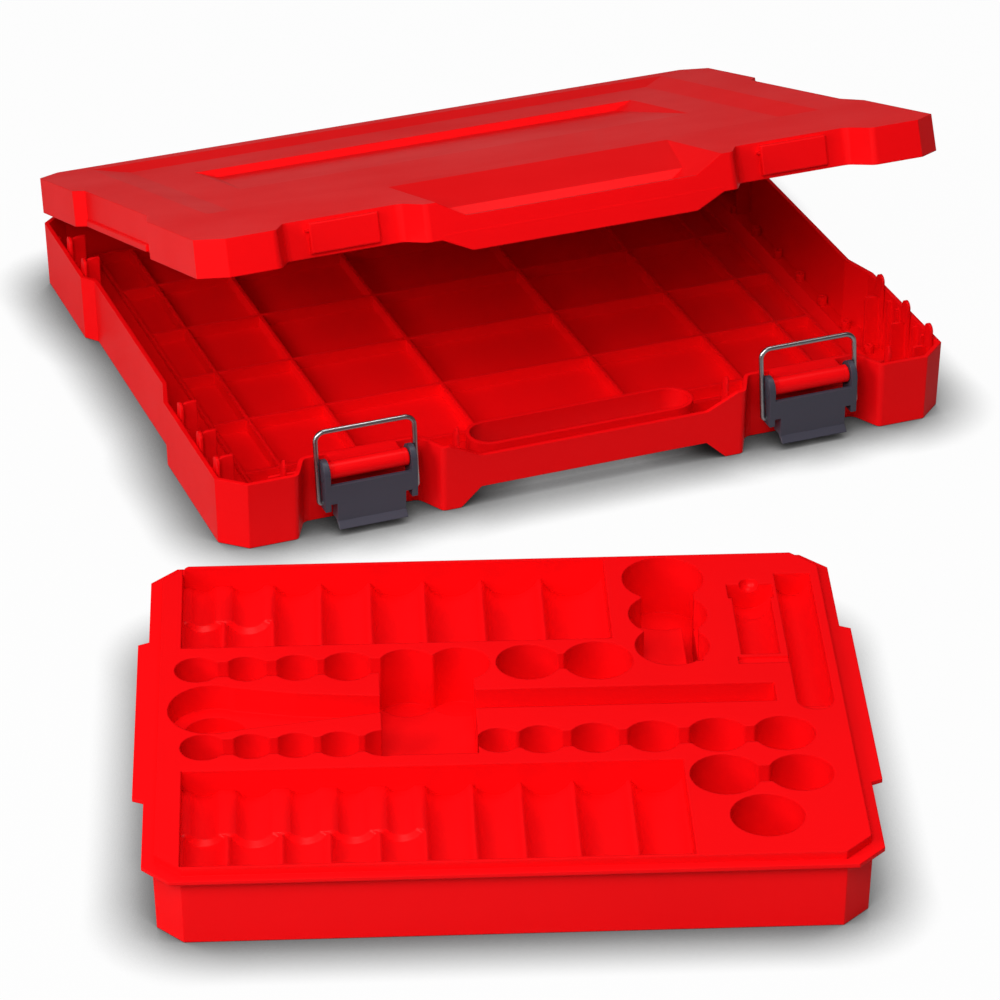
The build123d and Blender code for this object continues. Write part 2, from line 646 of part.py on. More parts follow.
def straight_pockets():
    """Every pocket with a flat floor, as pairs of plan and depth."""
    well_back = UPPER_ROW_Y
    well = rect(WELL_LEFT, WELL_RIGHT, WELL_FRONT, well_back)
    head = Pos(HEAD_X, 0) * Circle(HEAD_RADIUS)
    throat = [(HEAD_X, HEAD_RADIUS - 0.5), (HEAD_X / 2 + WELL_LEFT / 2, NECK_HALF + 4),
              (WELL_LEFT + 1, NECK_HALF), (WELL_LEFT + 1, 2 - NECK_HALF),
              (HEAD_X, 0.5 - HEAD_RADIUS)]
    head += make_face(Polyline(*throat, close=True))
    handle_length = HANDLE_END - WELL_RIGHT + 2
    handle = Pos((HANDLE_END + WELL_RIGHT - 2) / 2, HANDLE_Y) * Rectangle(handle_length, 2 * HANDLE_HALF)
    stack = stack_plan(3)
    slot = rect(STACK_X + SLOT_OFF, STACK_X + SLOT_OFF + SLOT_WIDTH, STACK_Y[2] - SLOT_REACH, STACK_Y[0])
    landing = rect(BAR_X - BAR_HEAD_HALF, LONG_X, LANDING_FRONT, LANDING_BACK)
    return [
        (circle_chain(UPPER_ROW, UPPER_ROW_Y), ROW_DEPTH),
        (circle_chain(WELL_PAIR, UPPER_ROW_Y), BIG_DEPTH),
        (circle_chain(UPPER_RIGHT, UPPER_ROW_Y), ROW_DEPTH),
        (circle_chain(LOWER_ROW, LOWER_ROW_Y), ROW_DEPTH),
        (rect(UPPER_ROW[-1][0], WELL_PAIR[0][0], UPPER_ROW_Y - NECK / 2, UPPER_ROW_Y + NECK / 2), ROW_DEPTH),
        (circle_chain(LOWER_RIGHT, LOWER_ROW_Y), ROW_DEPTH),
        (circle_chain(PAIR, PAIR_Y), BIG_DEPTH),
        (Pos(SINGLE_X, SINGLE_Y) * Circle(SINGLE_RADIUS), BIG_DEPTH),
        (well, WELL_DEPTH),
        (head, HEAD_DEPTH),
        (Pos(HEAD_X + 1, -2) * Circle(SEAT_RADIUS), SEAT_DEPTH),
        (handle, HANDLE_DEPTH),
        (stack, STACK_DEPTH - STACK_STEP),
        (stack_plan(1), STACK_DEPTH),
        (slot, STACK_DEPTH),
        (landing, LANDING_DEPTH),
    ]


def lying_row(edges, y0, y1, skin=0.0):
    """A trough of half-round lying pockets between the given edges."""
    top = TRAY_HEIGHT if skin == 0.0 else TRAY_HEIGHT - SKIN / 2
    low = LYING_AXIS - skin
    row = box(edges[0] - skin, edges[-1] + skin, y0 - skin, y1 + skin, low, top)
    length = y1 - y0 + 2 * skin
    for left, right in zip(edges, edges[1:]):
        radius = (right - left - RIDGE) / 2 + skin
        spot = Pos((left + right) / 2, (y0 + y1) / 2, LYING_AXIS) * Rot(90, 0, 0)
        row += spot * Cylinder(radius, length)
    return row


def lying_slot(x, radius, y0, y1, down, skin=0.0):
    """A half-round slot for a bar that lies along Y, its axis a little below the deck."""
    top = TRAY_HEIGHT if skin == 0.0 else TRAY_HEIGHT - SKIN / 2
    axis_z = TRAY_HEIGHT - down
    spot = Pos(x, (y0 + y1) / 2, axis_z) * Rot(90, 0, 0)
    bore = spot * Cylinder(radius + skin, y1 - y0 + 2 * skin)
    bore -= box(x - 2 * radius, x + 2 * radius, y0 - 2 * skin - 1, y1 + 2 * skin + 1, axis_z, 2 * TRAY_HEIGHT)
    return bore + box(x - radius - skin, x + radius + skin, y0 - skin, y1 + skin, axis_z - 0.01, top)


def bar_slots(skin=0.0):
    """The short slot with its wide head and ball notch, and the long slot with its round end."""
    slots = lying_slot(BAR_X, BAR_RADIUS, BAR_FRONT, BAR_BACK, BAR_AXIS_DOWN, skin)
    slots += lying_slot(BAR_X, BAR_HEAD_HALF, BAR_HEAD_FRONT, BAR_BACK, BAR_AXIS_DOWN, skin)
    slots += Pos(BAR_X, BAR_BACK, TRAY_HEIGHT) * Sphere(BALL_RADIUS + skin)
    slots += lying_slot(LONG_X, LONG_RADIUS, LONG_FRONT, LONG_BACK, LONG_AXIS_DOWN, skin)
    end = Pos(LONG_X, LONG_FRONT, TRAY_HEIGHT - LONG_AXIS_DOWN)
    slots += end * Sphere(LONG_RADIUS + skin)
    slots += Pos(0, 0, LONG_AXIS_DOWN / 2) * end * Cylinder(LONG_RADIUS + skin, LONG_AXIS_DOWN)
    return slots


def step_fill(edges, count, y0, y1):
    """Raised back floors with a bevelled front edge in the first lying pockets."""
    fill = Part()
    length = y1 - y0
    for left, right in zip(edges[:count], edges[1:count + 1]):
        radius = (right - left - RIDGE) / 2
        narrow = radius - STEP_RISE
        spot = Pos((left + right) / 2, (y0 + y1) / 2, LYING_AXIS) * Rot(90, 0, 0)
        hollow = spot * Cylinder(narrow, length)
        hollow += spot * Pos(0, 0, (length - STEP_RISE) / 2) * Cone(narrow, radius, STEP_RISE)
        round_block = (spot * Cylinder(radius + SKIN / 2, length)) & box(left, right, y0, y1, 0, LYING_AXIS)
        side_block = box(left, right, y0, y1, LYING_AXIS - STEP_RISE, LYING_AXIS)
        fill += (round_block + side_block) - hollow
    return fill


def socket_tray():
    """The lift-out tray: skirt, flange and tabs, with every pocket moulded in."""
    grow = 1.0
    skirt = Pos(0, 0, TRAY_HEIGHT - FLANGE_DROP) * tray_plan(grow)
    skirt = extrude(skirt, amount=FLANGE_DROP - TRAY_HEIGHT, taper=SKIRT_DRAFT)
    deck = Pos(0, 0, TRAY_HEIGHT - FLANGE_DROP) * extrude(tray_plan(0), amount=FLANGE_DROP)
    rim_x = 1 + FLANGE_OUT / DECK_X
    rim_y = 1 + FLANGE_OUT_Y / DECK_Y
    flange = scale(extrude(tray_plan(0), amount=FLANGE_THICK), by=(rim_x, rim_y, 1))
    tab = [(DECK_X, TAB_FRONT), (TAB_X, TAB_FRONT + TAB_END), (TAB_X, TAB_BACK - TAB_END), (DECK_X, TAB_BACK)]
    tab = extrude(make_face(Polyline(*tab, close=True)), amount=FLANGE_THICK)
    flange = Pos(0, 0, TRAY_HEIGHT - FLANGE_DROP - FLANGE_THICK) * (flange + both_sides(tab))
    inner = Pos(0, 0, TRAY_HEIGHT - SKIN) * tray_plan(-SKIN)
    hollow = extrude(inner, amount=SKIN - TRAY_HEIGHT, taper=-0.2)
    tray = skirt + deck + flange - hollow
    pockets = straight_pockets()
    edge = DECK_Y - SKIN
    upper = (UPPER_EDGES, UPPER_TROUGH_FRONT, edge)
    lower = (LOWER_EDGES, -edge, LOWER_TROUGH_BACK)
    room = Pos(0, 0, SKIN / 4) * extrude(tray_plan(0), amount=TRAY_HEIGHT - SKIN / 2)
    skins = lying_row(*upper, SKIN) + lying_row(*lower, SKIN) + bar_slots(SKIN)
    for plan, depth in pockets:
        skins += pocket(plan, depth, SKIN)
    tray += skins & room
    tray -= lying_row(*upper) + lying_row(*lower)
    tray -= bar_slots()
    for plan, depth in pockets:
        tray -= pocket(plan, depth)
    tray += step_fill(UPPER_EDGES, UPPER_STEPS, UPPER_STEP_Y, edge)
    tray += step_fill(LOWER_EDGES, LOWER_STEPS, LOWER_STEP_Y, LOWER_TROUGH_BACK)
    return tray


def main():
    """Builds every piece, places it in the shared frame and writes it."""
    os.makedirs("parts", exist_ok=True)
    case = Rot(0, 0, CASE_TURN)
    axis = Pos(0, HINGE_Y, HINGE_Z)
    opened = axis * Rot(-LID_OPEN, 0, 0) * axis.inverse()
    lever = latch_lever()
    bail = latch_bail()
    pieces = {
        "case_base": case * case_base(),
        "case_lid": case * opened * case_lid(),
        "socket_tray": Pos(TRAY_X, TRAY_Y, 0) * socket_tray(),
    }
    for name, side in (("left", -1), ("right", 1)):
        pieces["hinge_pin_" + name] = case * Pos(side * HINGE_X, 0, 0) * hinge_pin()
        pieces["latch_lever_" + name] = case * Pos(side * LATCH_X, 0, 0) * lever
        pieces["latch_bail_" + name] = case * Pos(side * LATCH_X, 0, 0) * bail
    for name, shape in pieces.items():
        export_step(shape, "parts/" + name + ".step")


if __name__ == "__main__":
    main()
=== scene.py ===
import logging
import math
from dataclasses import dataclass
from enum import Enum
from typing import Dict, List, Sequence, Tuple

import bmesh
import bpy
from mathutils import Matrix, Vector


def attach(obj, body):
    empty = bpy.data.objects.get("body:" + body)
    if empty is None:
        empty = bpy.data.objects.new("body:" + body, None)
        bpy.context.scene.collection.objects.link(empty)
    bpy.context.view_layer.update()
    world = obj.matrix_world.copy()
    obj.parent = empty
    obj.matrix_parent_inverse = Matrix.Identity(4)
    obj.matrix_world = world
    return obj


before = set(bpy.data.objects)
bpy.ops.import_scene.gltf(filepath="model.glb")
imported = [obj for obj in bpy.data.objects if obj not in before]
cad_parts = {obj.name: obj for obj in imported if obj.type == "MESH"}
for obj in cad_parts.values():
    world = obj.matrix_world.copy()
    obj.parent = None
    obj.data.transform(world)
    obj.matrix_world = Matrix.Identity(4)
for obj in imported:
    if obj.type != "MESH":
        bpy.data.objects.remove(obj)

LOG = logging.getLogger("carry_case")

MM = 0.001
# the sign of X and the name of each side, as seen from the front
SIDES = ((-1, "left"), (1, "right"))

# how the softened edges of the plates are cut
BEVEL_SEGMENTS = 2
BEVEL_PROFILE = 0.5
# points of a round shape that lie closer than this, in millimetres, are one point
SAME_POINT = 0.0001

# the sRGB curve
SRGB_KNEE = 0.04045
SRGB_SLOPE = 12.92
SRGB_OFFSET = 0.055
SRGB_GAMMA = 2.4

# places of the colour sockets of a mix node, whose names are not unique
MIX_FACTOR = 0
MIX_FIRST = 6
MIX_SECOND = 7
MIX_COLOUR = 2

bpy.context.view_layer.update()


class Body(Enum):
    """The moving groups that the visual pieces ride on."""

    CASE = "case"
    LID = "lid"
    TRAY = "tray"
    LEVER_LEFT = "lever_left"
    LEVER_RIGHT = "lever_right"


def srgb(code: str) -> Tuple[float, float, float, float]:
    """Turns a hex colour into linear light.

    Args:
        code: six hex digits as picked from a picture.

    Returns:
        Red, green, blue and alpha as linear values.
    """
    parts = [int(code[i : i + 2], 16) / 255 for i in (0, 2, 4)]
    linear = [
        p / SRGB_SLOPE if p <= SRGB_KNEE else ((p + SRGB_OFFSET) / (1 + SRGB_OFFSET)) ** SRGB_GAMMA
        for p in parts
    ]
    return (linear[0], linear[1], linear[2], 1.0)


def shifted(x: float, y: float, z: float) -> Matrix:
    """Gives a move.

    Args:
        x: distance along X, in millimetres.
        y: distance along Y.
        z: distance along Z.

    Returns:
        The matrix, in metres.
    """
    return Matrix.Translation((x * MM, y * MM, z * MM))


def mirrored(side: int) -> Matrix:
    """Gives the mirror that takes a piece drawn for one side to the other.

    Args:
        side: 1 keeps X as drawn, -1 turns it round.

    Returns:
        The matrix.
    """
    return Matrix.Diagonal((side, 1.0, 1.0, 1.0))


class NodeSheet:
    """A thin wrapper that adds and links the nodes of one material."""

    def __init__(self, name: str) -> None:
        """Starts a node material with its output and the object's own coordinates.

        Args:
            name: the material's name.
        """
        self.material = bpy.data.materials.new(name)
        self.material.use_nodes = True
        self.tree = self.material.node_tree
        self.tree.nodes.clear()
        self.output = self.add("ShaderNodeOutputMaterial")
        self.place = self.add("ShaderNodeTexCoord").outputs["Object"]

    def add(self, kind: str, **sockets: object) -> bpy.types.Node:
        """Adds one node and sets its sockets or properties.

        Args:
            kind: Blender's node type.
            **sockets: values by socket name with underscores for spaces, or node properties.

        Returns:
            The new node.
        """
        node = self.tree.nodes.new(kind)
        for key, value in sockets.items():
            label = key.replace("_", " ")
            if label in node.inputs:
                node.inputs[label].default_value = value
            else:
                setattr(node, key, value)
        return node

    def link(self, source: bpy.types.NodeSocket, target: bpy.types.NodeSocket) -> None:
        """Joins two sockets.

        Args:
            source: the output that gives the value.
            target: the input that takes it.
        """
        self.tree.links.new(source, target)

    def noise(self, scale: float, detail: float, roughness: float) -> bpy.types.NodeSocket:
        """Adds a noise in the object's coordinates.

        Args:
            scale: waves per metre.
            detail: octaves of finer noise.
            roughness: how strong the finer noise is.

        Returns:
            The noise's value.
        """
        noise = self.add("ShaderNodeTexNoise", Scale=scale, Detail=detail, Roughness=roughness)
        self.link(self.place, noise.inputs["Vector"])
        return noise.outputs["Fac"]

    def blend(self, factor: bpy.types.NodeSocket, first: str, second: str) -> bpy.types.NodeSocket:
        """Adds a mix of two colours.

        Args:
            factor: the value that chooses between them.
            first: sRGB hex of the colour at 0.
            second: sRGB hex of the colour at 1.

        Returns:
            The mixed colour.
        """
        tone = self.add("ShaderNodeMix", data_type="RGBA")
        tone.inputs[MIX_FIRST].default_value = srgb(first)
        tone.inputs[MIX_SECOND].default_value = srgb(second)
        self.link(factor, tone.inputs[MIX_FACTOR])
        return tone.outputs[MIX_COLOUR]

    def bump(self, height: bpy.types.NodeSocket, strength: float, depth: float) -> bpy.types.Node:
        """Adds a bump.

        Args:
            height: the value that stands for the relief.
            strength: how much of it shows.
            depth: the relief's height in metres.

        Returns:
            The bump node, so that another normal can be put under it.
        """
        bump = self.add("ShaderNodeBump", Strength=strength, Distance=depth)
        self.link(height, bump.inputs["Height"])
        return bump

    def close(self, shader: bpy.types.NodeSocket) -> bpy.types.Material:
        """Ends the material.

        Args:
            shader: what its surface shows.

        Returns:
            The node material.
        """
        self.link(shader, self.output.inputs["Surface"])
        return self.material


@dataclass(frozen=True)
class Plastic:
    """A moulded plastic with a fine grain, soft sheen changes and rounded-looking edges.

    Attributes:
        name: the material's name.
        colour: sRGB hex of its main colour.
        shade: sRGB hex of the slightly darker clouds.
        roughness: the middle of its roughness.
        coat: weight of the thin glossy coat.
        edge: radius of the rounded-looking edges, in metres.
        sheen_level: strength of the reflection under the coat.
        ior: index of refraction.
        coat_roughness: roughness of the coat.
        smoother: how far the roughness goes down in the clouds.
        rougher: how far it goes up.
        cloud_low: noise value where the smoothest spots begin.
        cloud_high: noise value where the roughest spots begin.
        cloud_scale: clouds per metre.
        grain_scale: grains per metre.
        grain_strength: how much of the grain shows.
        grain_depth: depth of the grain, in metres.
        edge_samples: rays that look for an edge.
    """

    name: str
    colour: str
    shade: str
    roughness: float
    coat: float
    edge: float
    sheen_level: float
    ior: float = 1.49
    coat_roughness: float = 0.32
    smoother: float = 0.04
    rougher: float = 0.05
    cloud_low: float = 0.3
    cloud_high: float = 0.7
    cloud_scale: float = 14.0
    grain_scale: float = 1900.0
    grain_strength: float = 0.045
    grain_depth: float = 0.0002
    edge_samples: int = 6

    def build(self) -> bpy.types.Material:
        """Makes the material.

        Returns:
            The node material.
        """
        sheet = NodeSheet(self.name)
        # broad clouds, about 70 mm across, keep large walls from reading as one flat colour
        cloud = sheet.noise(self.cloud_scale, detail=3.0, roughness=0.5)
        tone = sheet.blend(cloud, self.colour, self.shade)
        sheen = sheet.add(
            "ShaderNodeMapRange",
            From_Min=self.cloud_low,
            From_Max=self.cloud_high,
            To_Min=self.roughness - self.smoother,
            To_Max=self.roughness + self.rougher,
        )
        sheet.link(cloud, sheen.inputs["Value"])
        # spark-eroded mould grain of about 0.5 mm, seen only as a soft sheen
        grain = sheet.noise(self.grain_scale, detail=2.0, roughness=0.6)
        bump = sheet.bump(grain, self.grain_strength, self.grain_depth)
        # moulded edges are never sharp: a small radius that catches a thin line of light
        edge = sheet.add("ShaderNodeBevel", samples=self.edge_samples, Radius=self.edge)
        sheet.link(edge.outputs["Normal"], bump.inputs["Normal"])
        # a matte mould skin: little sheen at a low angle, and only the thin coat glints
        skin = sheet.add(
            "ShaderNodeBsdfPrincipled",
            IOR=self.ior,
            Specular_IOR_Level=self.sheen_level,
            Coat_Weight=self.coat,
            Coat_Roughness=self.coat_roughness,
        )
        sheet.link(tone, skin.inputs["Base Color"])
        sheet.link(sheen.outputs["Result"], skin.inputs["Roughness"])
        sheet.link(bump.outputs["Normal"], skin.inputs["Normal"])
        return sheet.close(skin.outputs["BSDF"])


@dataclass(frozen=True)
class DrawnSteel:
    """Zinc-plated drawn wire with a very fine grain and slight dulling.

    Attributes:
        name: the material's name.
        colour: sRGB hex of the bright plating.
        shade: sRGB hex of the duller clouds.
        roughness: the middle of its roughness.
        brighter: how far the roughness goes down in the clouds.
        duller: how far it goes up.
        cloud_scale: clouds per metre.
        grain_scale: grains per metre.
        grain_strength: how much of the grain shows.
        grain_depth: depth of the grain, in metres.
    """

    name: str
    colour: str
    shade: str
    roughness: float
    brighter: float = 0.05
    duller: float = 0.1
    cloud_scale: float = 160.0
    grain_scale: float = 2600.0
    grain_strength: float = 0.08
    grain_depth: float = 0.0001

    def build(self) -> bpy.types.Material:
        """Makes the material.

        Returns:
            The node material.
        """
        sheet = NodeSheet(self.name)
        # plating clouds about 6 mm across
        cloud = sheet.noise(self.cloud_scale, detail=4.0, roughness=0.55)
        tone = sheet.blend(cloud, self.colour, self.shade)
        dull = sheet.add(
            "ShaderNodeMapRange",
            To_Min=self.roughness - self.brighter,
            To_Max=self.roughness + self.duller,
        )
        sheet.link(cloud, dull.inputs["Value"])
        # the drawn surface: a grain of about 0.4 mm that blurs the highlight a little
        grain = sheet.noise(self.grain_scale, detail=2.0, roughness=0.5)
        bump = sheet.bump(grain, self.grain_strength, self.grain_depth)
        skin = sheet.add("ShaderNodeBsdfPrincipled", Metallic=1.0)
        sheet.link(tone, skin.inputs["Base Color"])
        sheet.link(dull.outputs["Result"], skin.inputs["Roughness"])
        sheet.link(bump.outputs["Normal"], skin.inputs["Normal"])
        return sheet.close(skin.outputs["BSDF"])


@dataclass(frozen=True)
class StudioPaper:
    """The white sweep under and behind the object, grey where the object stands close: mostly a
    painted shadow, with a little of the real one.

    Attributes:
        name: the material's name.
        colour: sRGB hex of the paper as the other rays meet it.
        shade: sRGB hex of its faint clouds.
        glow_share: how much of what the camera sees is glow.
        painted_shadow_reach: how near the object stands where the glow starts to fade, in metres.
        painted_shadow_power: how fast it fades.
        cloud_scale: clouds per metre.
        painted_shadow_samples: rays that look for the object.
    """

    name: str
    colour: str
    shade: str
    glow_share: float
    painted_shadow_reach: float
    painted_shadow_power: float
    cloud_scale: float = 60.0
    painted_shadow_samples: int = 16

    def build(self) -> bpy.types.Material:
        """Makes the material.

        Returns:
            The node material.
        """
        sheet = NodeSheet(self.name)
        # faint clouds, so that the sweep is not one flat value
        cloud = sheet.noise(self.cloud_scale, detail=3.0, roughness=0.5)
        skin = sheet.add("ShaderNodeBsdfDiffuse")
        sheet.link(sheet.blend(cloud, self.colour, self.shade), skin.inputs["Color"])
        # the white ground: a colourless glow, with a painted shadow where it fades close to the object
        near = sheet.add(
            "ShaderNodeAmbientOcclusion", samples=self.painted_shadow_samples, Distance=self.painted_shadow_reach
        )
        # painted shadow: the glow is dimmed by how closely the object crowds the paper
        fade = sheet.add("ShaderNodeMath", operation="POWER")
        fade.inputs[1].default_value = self.painted_shadow_power
        sheet.link(near.outputs["AO"], fade.inputs[0])
        glow = sheet.add("ShaderNodeEmission")
        sheet.link(fade.outputs["Value"], glow.inputs["Strength"])
        mixed = sheet.add("ShaderNodeMixShader", Fac=self.glow_share)
        sheet.link(skin.outputs["BSDF"], mixed.inputs[1])
        sheet.link(glow.outputs["Emission"], mixed.inputs[2])
        # only the camera sees the glow and its painted shadow; every other ray meets plain paper
        path = sheet.add("ShaderNodeLightPath")
        seen = sheet.add("ShaderNodeMixShader")
        sheet.link(path.outputs["Is Camera Ray"], seen.inputs["Fac"])
        sheet.link(skin.outputs["BSDF"], seen.inputs[1])
        sheet.link(mixed.outputs["Shader"], seen.inputs[2])
        return sheet.close(seen.outputs["Shader"])


RED = Plastic("red polypropylene", "F40A10", "E8090E", 0.36, 0.09, 0.0009, 0.02)
GREY = Plastic("dark grey nylon", "42404C", "3A3844", 0.42, 0.04, 0.0005, 0.35)
STEEL = DrawnSteel("zinc plated steel wire", "BEBFC0", "8C8D90", 0.27)
PAPER = StudioPaper("white studio sweep", "B4B4B4", "AEAEAE", 0.97, 0.034, 2.4)


@dataclass(frozen=True)
class CaseFrame:
    """Sizes of the case that its pieces are fitted to, in millimetres with the lid closed.

    Attributes:
        side: half the case's width.
        front: Y of the front wall.
        back: Y of the back wall.
        rim: height of the base's rim.
        wall: thickness of the walls.
        lid_low: height of the lid's lower edge.
        side_recess: depth of the recess in each side of the lid.
        latch_x: distance of the latches from the middle.
        pivot_y: Y of the levers' axis.
        pivot_z: height of the levers' axis.
        turn: the case's turn about Z, in degrees.
        opened: how far the lid stands open, in degrees.
        hinge_y: Y of the hinge.
        hinge_z: height of the hinge.
    """

    side: float = 200.0
    front: float = -163.0
    back: float = 163.0
    rim: float = 37.0
    wall: float = 2.4
    lid_low: float = 37.4
    side_recess: float = 5.5
    latch_x: float = 121.5
    pivot_y: float = -157.0
    pivot_z: float = 33.0
    turn: float = 18.4
    opened: float = 18.9
    hinge_y: float = 167.5
    hinge_z: float = 37.2

    def place(self) -> Matrix:
        """Places the pieces of the base.

        Returns:
            The matrix from the case's own frame to the shared one, in metres.
        """
        return Matrix.Rotation(math.radians(self.turn), 4, "Z")

    def lid_place(self) -> Matrix:
        """Places the pieces of the lid, which is drawn closed and stands open about its hinge.

        Returns:
            The matrix from the closed lid's frame to the shared one, in metres.
        """
        hinge = shifted(0.0, self.hinge_y, self.hinge_z)
        swing = Matrix.Rotation(math.radians(-self.opened), 4, "X")
        return self.place() @ hinge @ swing @ hinge.inverted()


CASE = CaseFrame()


@dataclass(frozen=True)
class TrayFrame:
    """Where the tray stands, and its two troughs for lying sockets, in millimetres.

    Attributes:
        x: the tray's middle along X.
        y: the tray's middle along Y.
        edge: how far both troughs reach from the middle towards the tray's long edges.
        upper_front: front edge of the upper trough.
        lower_back: back edge of the lower trough.
        upper_step: Y of the upper trough's step.
        lower_step: Y of the lower trough's step.
        upper_stepped: stepped pockets of the upper trough.
        lower_stepped: stepped pockets of the lower trough.
        upper_edges: X of the ridges between the upper trough's pockets, with both ends.
        lower_edges: X of the ridges between the lower trough's pockets, with both ends.
    """

    x: float = -9.0
    y: float = -420.6
    edge: float = 125.4
    upper_front: float = 53.0
    lower_back: float = -50.8
    upper_step: float = 92.0
    lower_step: float = -87.0
    upper_stepped: int = 2
    lower_stepped: int = 5
    upper_edges: Tuple[float, ...] = (
        -147.5, -128.0, -104.7, -82.0, -58.3, -32.3, -4.5, 24.0, 54.5,
    )
    lower_edges: Tuple[float, ...] = (
        -146.0, -125.5, -101.6, -80.4, -58.5, -37.9, -16.2, 5.6, 29.5, 55.0, 79.3,
    )


TRAY = TrayFrame()


def slab(outline: Sequence[Tuple[float, float]], thick: float, bevel: float) -> bmesh.types.BMesh:
    """Makes a moulded plate that stands in X and Z and is centred on Y.

    Args:
        outline: corners in X and Z, in millimetres.
        thick: thickness along Y.
        bevel: width of the softened edges.

    Returns:
        The plate, in metres.
    """
    shape = bmesh.new()
    corners = [shape.verts.new((x, -thick / 2, z)) for x, z in outline]
    face = shape.faces.new(corners)
    pulled = bmesh.ops.extrude_face_region(shape, geom=[face])
    moved = [item for item in pulled["geom"] if isinstance(item, bmesh.types.BMVert)]
    bmesh.ops.translate(shape, verts=moved, vec=(0.0, thick, 0.0))
    bmesh.ops.bevel(
        shape,
        geom=shape.edges[:],
        offset=bevel,
        offset_type="OFFSET",
        segments=BEVEL_SEGMENTS,
        profile=BEVEL_PROFILE,
        affect="EDGES",
        clamp_overlap=True,
        material=-1,
    )
    bmesh.ops.scale(shape, verts=shape.verts, vec=(MM, MM, MM))
    return shape


def turned(profile: Sequence[Tuple[float, float]], steps: int) -> bmesh.types.BMesh:
    """Spins a profile about the X axis.

    Args:
        profile: points as distance along X and radius, in millimetres.
        steps: sides of the round shape.

    Returns:
        The closed round shape, in metres.
    """
    shape = bmesh.new()
    line = [shape.verts.new((x, 0.0, radius)) for x, radius in profile]
    edges = [shape.edges.new(pair) for pair in zip(line, line[1:])]
    bmesh.ops.spin(
        shape,
        geom=line + edges,
        cent=(0.0, 0.0, 0.0),
        axis=(1.0, 0.0, 0.0),
        angle=2 * math.pi,
        steps=steps,
        use_merge=True,
    )
    bmesh.ops.remove_doubles(shape, verts=shape.verts, dist=SAME_POINT)
    bmesh.ops.scale(shape, verts=shape.verts, vec=(MM, MM, MM))
    return shape


def corner_arc(
    x: float, z: float, radius: float, start: float, end: float, steps: int = 6
) -> List[Tuple[float, float]]:
    """Gives points along an arc in X and Z.

    Args:
        x: centre along X.
        z: centre along Z.
        radius: radius of the arc.
        start: first angle in degrees.
        end: last angle in degrees.
        steps: pieces of the arc.

    Returns:
        The points from first to last.
    """
    angles = [math.radians(start + (end - start) * i / steps) for i in range(steps + 1)]
    return [(x + radius * math.cos(a), z + radius * math.sin(a)) for a in angles]


class PieceKit:
    """Turns shapes into named objects that ride on a body."""

    def __init__(self, finishes: Dict[str, bpy.types.Material]) -> None:
        """Keeps the finishes.

        Args:
            finishes: materials by the record's slot name.
        """
        self.finishes = finishes

    def add(
        self, name: str, shape: bmesh.types.BMesh, place: Matrix, body: Body, slot: str
    ) -> bpy.types.Object:
        """Makes one piece from a shape.

        Args:
            name: the piece's name.
            shape: its mesh in metres, which is freed.
            place: matrix from the shape's frame to the shared one.
            body: what it moves with.
            slot: the record's material slot.

        Returns:
            The new object, at the origin with its place in its mesh.
        """
        bmesh.ops.transform(shape, matrix=place, verts=shape.verts)
        bmesh.ops.recalc_face_normals(shape, faces=shape.faces)
        mesh = bpy.data.meshes.new(name)
        shape.to_mesh(mesh)
        shape.free()
        mesh.materials.append(self.finishes[slot])
        piece = bpy.data.objects.new(name, mesh)
        bpy.context.scene.collection.objects.link(piece)
        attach(piece, body.value)
        LOG.info("piece %s on %s, %d faces", name, body.value, len(mesh.polygons))
        return piece


@dataclass
class GuideBlades:
    """Cross blades of the side walls: tall on the left, short of the rim on the right.

    Attributes:
        width: how far a blade stands in from the wall.
        thick: its thickness along the wall.
        low: height of its foot.
        rise: how far the left blades stand above the rim.
        drop: how far the right blades end below the rim.
        corner: radius of the top corner at the wall.
        inset: how far the blade's wall line stands off the wall.
        root: how far its foot runs back into the wall.
        soft: width of the softened edges.
        short_crown: points of the rounded corner that a short blade keeps.
        from_front: places of the front blades, from the front wall.
        from_back: places of the back blades, from the back wall.
    """

    width: float = 9.5
    thick: float = 1.7
    low: float = 2.4
    rise: float = 7.8
    drop: float = 4.0
    corner: float = 5.2
    inset: float = 0.6
    root: float = 0.9
    soft: float = 0.25
    short_crown: int = 3
    from_front: Tuple[float, ...] = (19.5, 47.0, 79.0)
    from_back: Tuple[float, ...] = (49.0, 76.0)

    def outline(self, top: float) -> List[Tuple[float, float]]:
        """Gives the blade's outline, with X inward from the wall.

        Args:
            top: height of the blade's top.

        Returns:
            Corners in X and Z.
        """
        foot_top = min(CASE.rim, top) - CASE.wall
        shoulder = top - self.corner
        crown = corner_arc(self.corner, shoulder, self.corner, 90.0, 180.0)
        inner = [(-self.root, self.low), (self.width, self.low), (self.width, top)]
        if shoulder < foot_top:
            return [*inner, *crown[: self.short_crown], (-self.root, shoulder)]
        return [*inner, *crown, (0.0, foot_top), (-self.root, foot_top)]

    def build(self, kit: PieceKit) -> None:
        """Adds every blade.

        Args:
            kit: makes the objects.
        """
        spots = [CASE.front + far for far in self.from_front]
        spots += [CASE.back - far for far in self.from_back]
        for side, name in SIDES:
            top = CASE.rim + self.rise if side < 0 else CASE.rim - self.drop
            edge = side * (CASE.side - CASE.wall - self.inset)
            for number, y in enumerate(spots):
                place = CASE.place() @ shifted(edge, y, 0.0) @ mirrored(-side)
                shape = slab(self.outline(top), self.thick, self.soft)
                kit.add(f"guide_blade_{name}_{number}", shape, place, Body.CASE, "red_plastic")


